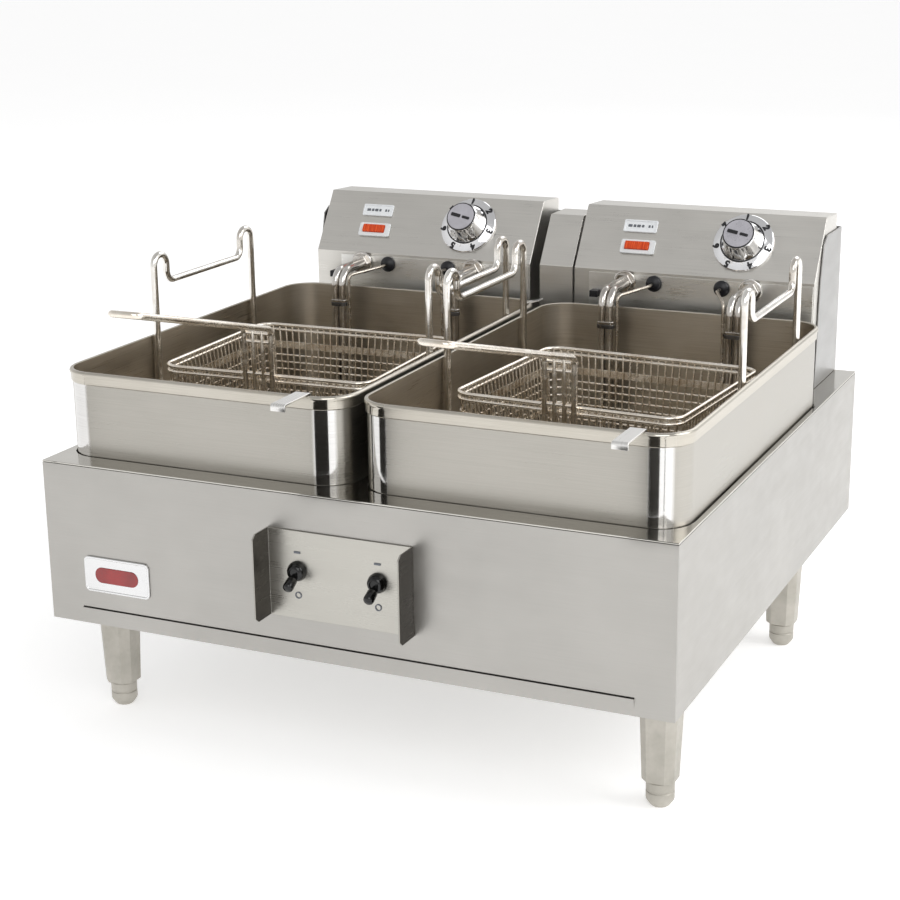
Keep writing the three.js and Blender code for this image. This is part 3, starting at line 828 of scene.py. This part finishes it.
def probe_line(side, kind, towards):
    """A thin capillary from its grommet to the element's arm, and down into the oil, where its bulb is."""
    node = f"{kind}_probe_{side}"
    low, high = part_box(node)
    wire = CAPILLARY["radius"]
    grommet_x = middle(f"{kind}_grommet_{side}").x
    far_x = low.x + wire if towards < 0 else high.x - wire
    drop_y = low.y + wire
    exit_z = high.z - CAPILLARY["below_top"]
    corners = [
        (grommet_x, high.y, exit_z), (grommet_x, high.y - CAPILLARY["straight"], exit_z),
        (far_x, drop_y, exit_z - CAPILLARY["sag"]), (far_x, drop_y, low.z),
    ]
    bm = bmesh.new()
    tube(bm, bent(corners, CAPILLARY["bend"], 7), wire, 10)
    end = frame_at(Vector((far_x, drop_y, low.z)), (1, 0, 0), (0, 1, 0))
    bulb = in_metres([(0, 0), (2, 0.6), (2.9, 3), (2.9, 66)])
    lathe(bm, bulb + [(wire, 70 * MM)], 16, end)
    piece(f"{node}_line", bm, PROBE, "fryer", (node,), smooth=60)


def grommet(side, kind):
    node = f"{kind}_grommet_{side}"
    low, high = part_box(node)
    centre = (low + high) / 2
    where = facing_front(centre.x, high.y, centre.z)
    radius = (high.x - low.x) / 2
    profile = [(0, 0), (radius, 0), (radius, 1.4 * MM), (radius * 0.93, 2.6 * MM)]
    profile += [(radius * 0.72, 4.2 * MM), (radius * 0.42, 5.4 * MM), (2.1 * MM, 5.8 * MM), (0, 5.2 * MM)]
    bm = bmesh.new()
    lathe(bm, profile, 32, where)
    piece(f"{node}_boot", bm, RUBBER, "fryer", (node,), smooth=50)


# -------------------- dials, lamps and labels
def slope_frame(side, origin):
    """A frame on the sloping panel: X across, Y up the slope, Z out of it."""
    out = -Vector(JOINTS[f"dial_turn_{side}"]["axis"])
    across = Vector((1, 0, 0))
    return frame_at(origin, across, out.cross(across))


def dial(side):
    joint = JOINTS[f"dial_turn_{side}"]
    where = slope_frame(side, Vector(joint["pos_m"])) @ Matrix.Translation((0, 0, 0.4 * MM))
    node = f"dial_{side}"
    edge, base = DIAL["skirt"], DIAL["hub_base"]
    profile = [
        (0, 0), (edge - 0.7, 0), (edge, 0.6), (edge, 1.8), (edge - 0.8, 2.6), (edge - 2.2, 3.1),
        (base + 1.4, 5.4), (base + 0.4, 6.2), (0, 6.4),
    ]
    skirt = bmesh.new()
    lathe(skirt, in_metres(profile), 72, where)
    piece(f"{node}_skirt", skirt, CHROME, node, (node,), smooth=24)
    groove = bmesh.new()
    ring = [(0, 5.0), (base + 1.0, 5.0), (base + 1.0, 5.95), (base + 0.2, 6.35), (0, 6.35)]
    lathe(groove, in_metres(ring), 72, where)
    piece(f"{node}_groove", groove, MARKS, node, smooth=30)
    dial_grip(node, where)
    dial_face(node, where)
    dial_marks(node, where)


def dial_grip(node, where):
    """The hub that the fingers hold: a cone with broad flats."""
    flats, steps, hollow_depth, sharpness = 6, 10, 2.3, 0.7
    base, tip, height = DIAL["hub_base"], DIAL["hub"], DIAL["height"]
    levels = (
        (5.8, base, 0.0), (7.4, base - 0.5, 0.5), (9.5, base - 1.1, 1.0),
        (height - 3.0, tip + 0.7, 0.8), (height - 1.2, tip + 0.2, 0.2), (height, tip - 0.6, 0.0),
    )
    rings = []
    for level, radius, depth in levels:
        ring = []
        for k in range(flats * steps):
            turn = 2 * math.pi * k / (flats * steps)
            hollow = max(0.0, math.cos(flats * turn)) ** sharpness * hollow_depth * depth
            reach = (radius - hollow) * MM
            ring.append(where @ Vector((reach * math.cos(turn), reach * math.sin(turn), level * MM)))
        rings.append(ring)
    bm = bmesh.new()
    loft(bm, rings, True, True)
    piece(f"{node}_grip", bm, CHROME, node, smooth=34)


def dial_face(node, where):
    """The black edge ring, the pale face inside it and the pointer in two dashes."""
    tip, top = DIAL["hub"] - 0.5, DIAL["height"]
    rim = [(0, top - 0.4), (tip, top - 0.4), (tip, top + 0.2), (tip - 0.7, top + 0.6), (0, top + 0.6)]
    cap = [(0, top + 0.3), (tip - 1.2, top + 0.3), (tip - 1.4, top + 0.9), (0, top + 1.1)]
    edge = bmesh.new()
    lathe(edge, in_metres(rim), 56, where)
    piece(f"{node}_edge", edge, MARKS, node, smooth=30)
    face = bmesh.new()
    lathe(face, in_metres(cap), 56, where)
    piece(f"{node}_face", face, DIAL_FACE, node, smooth=30)
    pointer = bmesh.new()
    turned = where @ Matrix.Rotation(math.radians(POINTER_TURN), 4, "Z")
    for centre_x, length, thick in ((-6.2, 11.5, 3.8), (6.4, 9.0, 3.0)):
        dash = [(centre_x + x, y) for x, y in rounded_loop(length / 2, thick / 2, 0.9, 4)]
        slab(pointer, in_metres(dash), (top + 0.9) * MM, (top + 1.5) * MM, turned)
    piece(f"{node}_pointer", pointer, MARKS, node)


def dial_marks(node, where):
    """The scale on the skirt: plain numbers near its edge."""
    count = 7
    middle_radius = (DIAL["skirt"] + DIAL["hub_base"]) / 2 + 0.6
    lean = Matrix.Rotation(math.radians(-13), 4, "X")
    for k in range(count):
        number = str(k + 1)
        turn = Matrix.Rotation(math.radians(-360 * k / count), 4, "Z")
        at = where @ turn @ Matrix.Translation((0, middle_radius * MM, 4.15 * MM)) @ lean
        digit(f"{node}_number_{number}", number, at, node)


def digit(name, text, where, body):
    """One raised number of the dial's scale, as a mesh."""
    curve = bpy.data.curves.new(name + "_outline", "FONT")
    curve.body = text
    curve.size = 10 * MM
    curve.align_x, curve.align_y = "CENTER", "CENTER"
    curve.extrude = 0.3 * MM
    curve.offset = 0.5 * MM
    curve.resolution_u = 3
    outline = bpy.data.objects.new(name + "_outline", curve)
    bpy.context.scene.collection.objects.link(outline)
    bpy.context.view_layer.update()
    evaluated = outline.evaluated_get(bpy.context.evaluated_depsgraph_get())
    bm = bmesh.new()
    bm.from_mesh(evaluated.to_mesh())
    bm.transform(where)
    bpy.data.objects.remove(outline)
    piece(name, bm, MARKS, body, smooth=30)


def lamp_and_label(side):
    """Pilot lamp with its ribbed lens, and the window above it with plain grey strokes."""
    dress(WHITE, 0.5 * MM, f"lamp_bezel_{side}")
    dress(AMBER, 0.4 * MM, f"lamp_lens_{side}")
    dress(LABEL, 0.4 * MM, f"label_window_{side}")
    where = slope_frame(side, middle(f"label_window_{side}"))
    bm = bmesh.new()
    strokes = ((-11.5, 4.5), (-6.5, 3.0), (-2.0, 4.0), (2.6, 2.6), (9.8, 2.2), (13.0, 1.6))
    for centre_x, length in strokes:
        outline = [(centre_x + x, y) for x, y in rounded_loop(length / 2, 1.5, 0.5, 2)]
        slab(bm, in_metres(outline), 0.5 * MM, 0.8 * MM, where)
    piece(f"label_strokes_{side}", bm, GREY_INK, "fryer")
    border = bmesh.new()
    rings = []
    section = ((18.3, 6.8, 0.55), (18.3, 6.8, 1.2), (17.0, 5.5, 1.2), (17.0, 5.5, 0.55))
    for half_x, half_y, height in section:
        outline = in_metres(rounded_loop(half_x, half_y, 1.2, 4))
        rings.append(lifted(outline, height * MM, where))
    loft(border, rings + rings[:1])
    piece(f"label_frame_{side}", border, LABEL, "fryer")


# -------------------- switches and badge
def toggle(side):
    """A domed boot on the panel, and the bat lever that turns in it."""
    low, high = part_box(f"toggle_boot_{side}")
    centre = (low + high) / 2
    where = facing_front(centre.x, high.y, centre.z)
    dome = in_metres([
        (0, 0), (9, 0), (9, 1.6), (8.5, 2.4), (8.5, 3.2), (7.9, 5.0),
        (6.6, 6.9), (5.4, 7.8), (4.4, 8.0), (4.0, 6.5), (0, 6.0),
    ])
    boot = bmesh.new()
    lathe(boot, dome, 44, where)
    piece(f"toggle_dome_{side}", boot, BLACK, "fryer", (f"toggle_boot_{side}",), smooth=50)
    pivot = Vector(JOINTS[f"toggle_flip_{side}"]["pos_m"])
    hang = math.radians(LEVER_HANG)
    along = Vector((0, -math.cos(hang), -math.sin(hang)))
    end, root, bat = LEVER["length"], LEVER["root"], LEVER["bat"]
    stem = in_metres([
        (0, 1), (root, 1), (root + 0.3, 7), (bat - 1.2, 9), (bat - 0.2, 11.5),
        (bat, end - 3.5), (bat - 0.5, end - 1.5), (bat - 1.8, end - 0.4), (0, end),
    ])
    lever = bmesh.new()
    lathe(lever, stem, 32, frame_at(pivot, (1, 0, 0), along.cross(Vector((1, 0, 0)))))
    standing_for = (f"toggle_lever_{side}",)
    piece(f"toggle_bat_{side}", lever, BLACK, f"toggle_{side}", standing_for, smooth=50)
    switch_marks(side, centre, high.y)


def switch_marks(side, centre, plate_y):
    """A plain bar above the switch and a plain ring below it."""
    bar_up, ring_down, proud, thick = 17 * MM, 22.5 * MM, 0.3 * MM, 0.45 * MM
    bm = bmesh.new()
    above = facing_front(centre.x, plate_y + proud, centre.z + bar_up)
    slab(bm, rounded_loop(3.2 * MM, 1.0 * MM, 0.5 * MM, 3), 0, thick, above)
    below = facing_front(centre.x, plate_y + proud, centre.z - ring_down)
    outer, inner = (rounded_loop(radius, radius, radius * 0.98, 8) for radius in (3.2 * MM, 2.2 * MM))
    rings = [
        lifted(outer, 0, below), lifted(outer, thick, below),
        lifted(inner, thick, below), lifted(inner, 0, below),
    ]
    loft(bm, rings + rings[:1])
    piece(f"switch_marks_{side}", bm, GREY_INK, "fryer")


def badge():
    """A plain plate with a raised edge and a blank enamel bar."""
    low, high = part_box("nameplate")
    centre = (low + high) / 2
    where = facing_front(centre.x, high.y, centre.z)
    half_x, half_y = (high.x - low.x) / 2, (high.z - low.z) / 2
    thick, corner, edge = high.y - low.y, 5 * MM, 0.3 * MM
    levels = ((0, 0), (0, thick), (0.5, thick + edge), (1.6, thick + edge), (2.2, thick - 0.2 * MM))
    bm = bmesh.new()
    rings = []
    for inset, height in levels:
        inset *= MM
        outline = rounded_loop(half_x - inset, half_y - inset, corner - inset, 8)
        rings.append(lifted(outline, height, where))
    loft(bm, rings, True, True)
    piece("badge_plate", bm, BADGE, "fryer", ("nameplate",), smooth=20)
    bar = bmesh.new()
    outline = rounded_loop(half_x * 0.66, half_y * 0.44, half_y * 0.42, 8)
    slab(bar, outline, thick - edge, thick + 0.5 * MM, where)
    piece("badge_bar", bar, ENAMEL, "fryer", bevel=0.35 * MM)


# -------------------- feet
def foot(where):
    """A turned levelling foot with a groove round it, and its screw up into the leg."""
    node = f"foot_{where}"
    low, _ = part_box(node)
    centre = middle(node)
    profile = in_metres([
        (0, 0), (8, 0), (8.6, 0.5), (12.1, 5.4), (12.5, 6.6), (12.5, 13), (11.9, 13.6), (11.9, 14.6),
        (12.5, 15.2), (12.5, 22.6), (11.9, 23.4), (5, 23.6), (5, 55), (0, 55.4),
    ])
    bm = bmesh.new()
    lathe(bm, profile, 40, Matrix.Translation((centre.x, centre.y, low.z)))
    piece(f"{node}_turned", bm, CAST, f"screw_foot_{where}", (node,), smooth=35)


# -------------------- stage, lights and camera
def studio():
    """White paper floor, pale surroundings, three lights and the reflection cards."""
    floor = bmesh.new()
    bmesh.ops.create_grid(floor, x_segments=6, y_segments=6, size=30.0)
    staged("floor", floor, floor_paper())
    world_light()
    fryer, beside = Vector((0, 0, 0.2)), Vector((1.2, 0.4, 0))
    area_light("key", (1.6, -2.8, 2.6), fryer, 2.4, 34)
    area_light("side", (2.6, 0.3, 1.8), beside, 2.0, 36)
    area_light("back", (0.6, 3.2, 2.6), fryer, 2.4, 26)
    for side, cards in CARDS.items():
        for number, edges in enumerate(cards):
            corner_card(f"card_{side}_{number}", side, *in_metres([edges])[0])


def staged(name, bm, material):
    """An object of the studio, which isn't part of the fryer."""
    mesh = bpy.data.meshes.new(name)
    bm.to_mesh(mesh)
    bm.free()
    mesh.materials.append(material)
    made = bpy.data.objects.new(name, mesh)
    bpy.context.scene.collection.objects.link(made)
    return made


def corner_card(name, side, left, right):
    """A small black card in front of a pot, seen in reflections only: it makes the corner's dark streak.

    left and right are where the card's edges stand, along X from the pot's right edge.
    """
    low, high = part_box(f"fry_pot_{side}")
    _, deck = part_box("top_deck")
    front, foot_z, top = low.y - 50 * MM, deck.z - 9 * MM, high.z - 4 * MM
    centre = Vector((high.x + (left + right) / 2, front, (foot_z + top) / 2))
    bm = bmesh.new()
    bmesh.ops.create_cube(bm, size=1.0)
    bm.transform(Matrix.Translation(centre) @ Matrix.Diagonal((right - left, 1 * MM, top - foot_z, 1)))
    card = staged(name, bm, CARD)
    for ray in ("camera", "diffuse", "shadow", "transmission", "volume_scatter"):
        setattr(card, "visible_" + ray, False)


def world_light():
    """Even pale surroundings, a little darker overhead."""
    world = bpy.data.worlds.new("studio")
    bpy.context.scene.world = world
    world.use_nodes = True
    tree = world.node_tree
    place = tree.nodes.new("ShaderNodeTexCoord")
    split = tree.nodes.new("ShaderNodeSeparateXYZ")
    tree.links.new(place.outputs["Generated"], split.inputs["Vector"])
    ramp = tree.nodes.new("ShaderNodeValToRGB")
    tree.links.new(split.outputs["Z"], ramp.inputs["Fac"])
    stops = ramp.color_ramp.elements
    stops.remove(stops[1])
    stops[0].color = (1, 1, 1, 1)
    for height, grey in ((0.25, 0.92), (0.55, 0.72), (1.0, 0.6)):
        stops.new(height).color = (grey, grey, grey, 1)
    background = tree.nodes["Background"]
    tree.links.new(ramp.outputs["Color"], background.inputs["Color"])
    background.inputs["Strength"].default_value = 0.85


def area_light(name, location, target, size, power):
    light = bpy.data.lights.new(name, "AREA")
    light.shape = "SQUARE"
    light.size = size
    light.energy = power
    lamp = bpy.data.objects.new(name, light)
    lamp.location = location
    lamp.rotation_mode = "QUATERNION"
    lamp.rotation_quaternion = (target - Vector(location)).to_track_quat("-Z", "Y")
    bpy.context.scene.collection.objects.link(lamp)


def camera():
    """The viewing angle: turned to the left by yaw, down by pitch, in radians."""
    location = Vector((0.7256, -1.5920, 0.7437))
    yaw, pitch, roll, lens = -0.4329, 0.2833, -0.0124, 74.8
    ahead = Vector((math.sin(yaw) * math.cos(pitch), math.cos(yaw) * math.cos(pitch), -math.sin(pitch)))
    right = ahead.cross(Vector((0, 0, 1))).normalized()
    up = right.cross(ahead)
    x_axis = right * math.cos(roll) + up * math.sin(roll)
    y_axis = up * math.cos(roll) - right * math.sin(roll)
    data = bpy.data.cameras.new("camera")
    data.lens = lens
    data.sensor_width = 36
    made = bpy.data.objects.new("camera", data)
    made.matrix_world = frame_at(location, x_axis, y_axis)
    bpy.context.scene.collection.objects.link(made)
    bpy.context.scene.camera = made


# -------------------- the fryer
dress(CABINET, 0.5 * MM, "front_panel", "left_side_panel", "right_side_panel", "rear_panel", "bottom_pan")
dress(GUARD, 0.5 * MM, "switch_guard")
dress(DECK, 0.4 * MM, "top_deck")
dress(HEAD, 0.6 * MM, "centre_cover", "head_casing_left", "head_casing_right")
dress(RISER, 0.6 * MM, "riser_housing")
dress(PLATE, 0.3 * MM, "element_plate_left", "element_plate_right")
dress(RUBBER, 0.8 * MM, "rest_pad_left", "rest_pad_right")
for corner in ("front_left", "front_right", "rear_left", "rear_right"):
    dress(CAST, 1.2 * MM, f"leg_{corner}")
    foot(corner)
for hand in SIDES:
    fry_pot(hand)
    hanger(hand, "outer")
    hanger(hand, "inner")
    crumb_screen(hand)
    lift_tab(hand)
    basket(hand)
    basket_handle(hand)
    element(hand)
    probe_line(hand, "thermostat", -1)
    probe_line(hand, "limit", 1)
    grommet(hand, "thermostat")
    grommet(hand, "limit")
    dial(hand)
    lamp_and_label(hand)
    toggle(hand)
hanger_rivet()
rear_tab()
badge()
studio()
camera()
bpy.context.scene.view_settings.view_transform = "Standard"
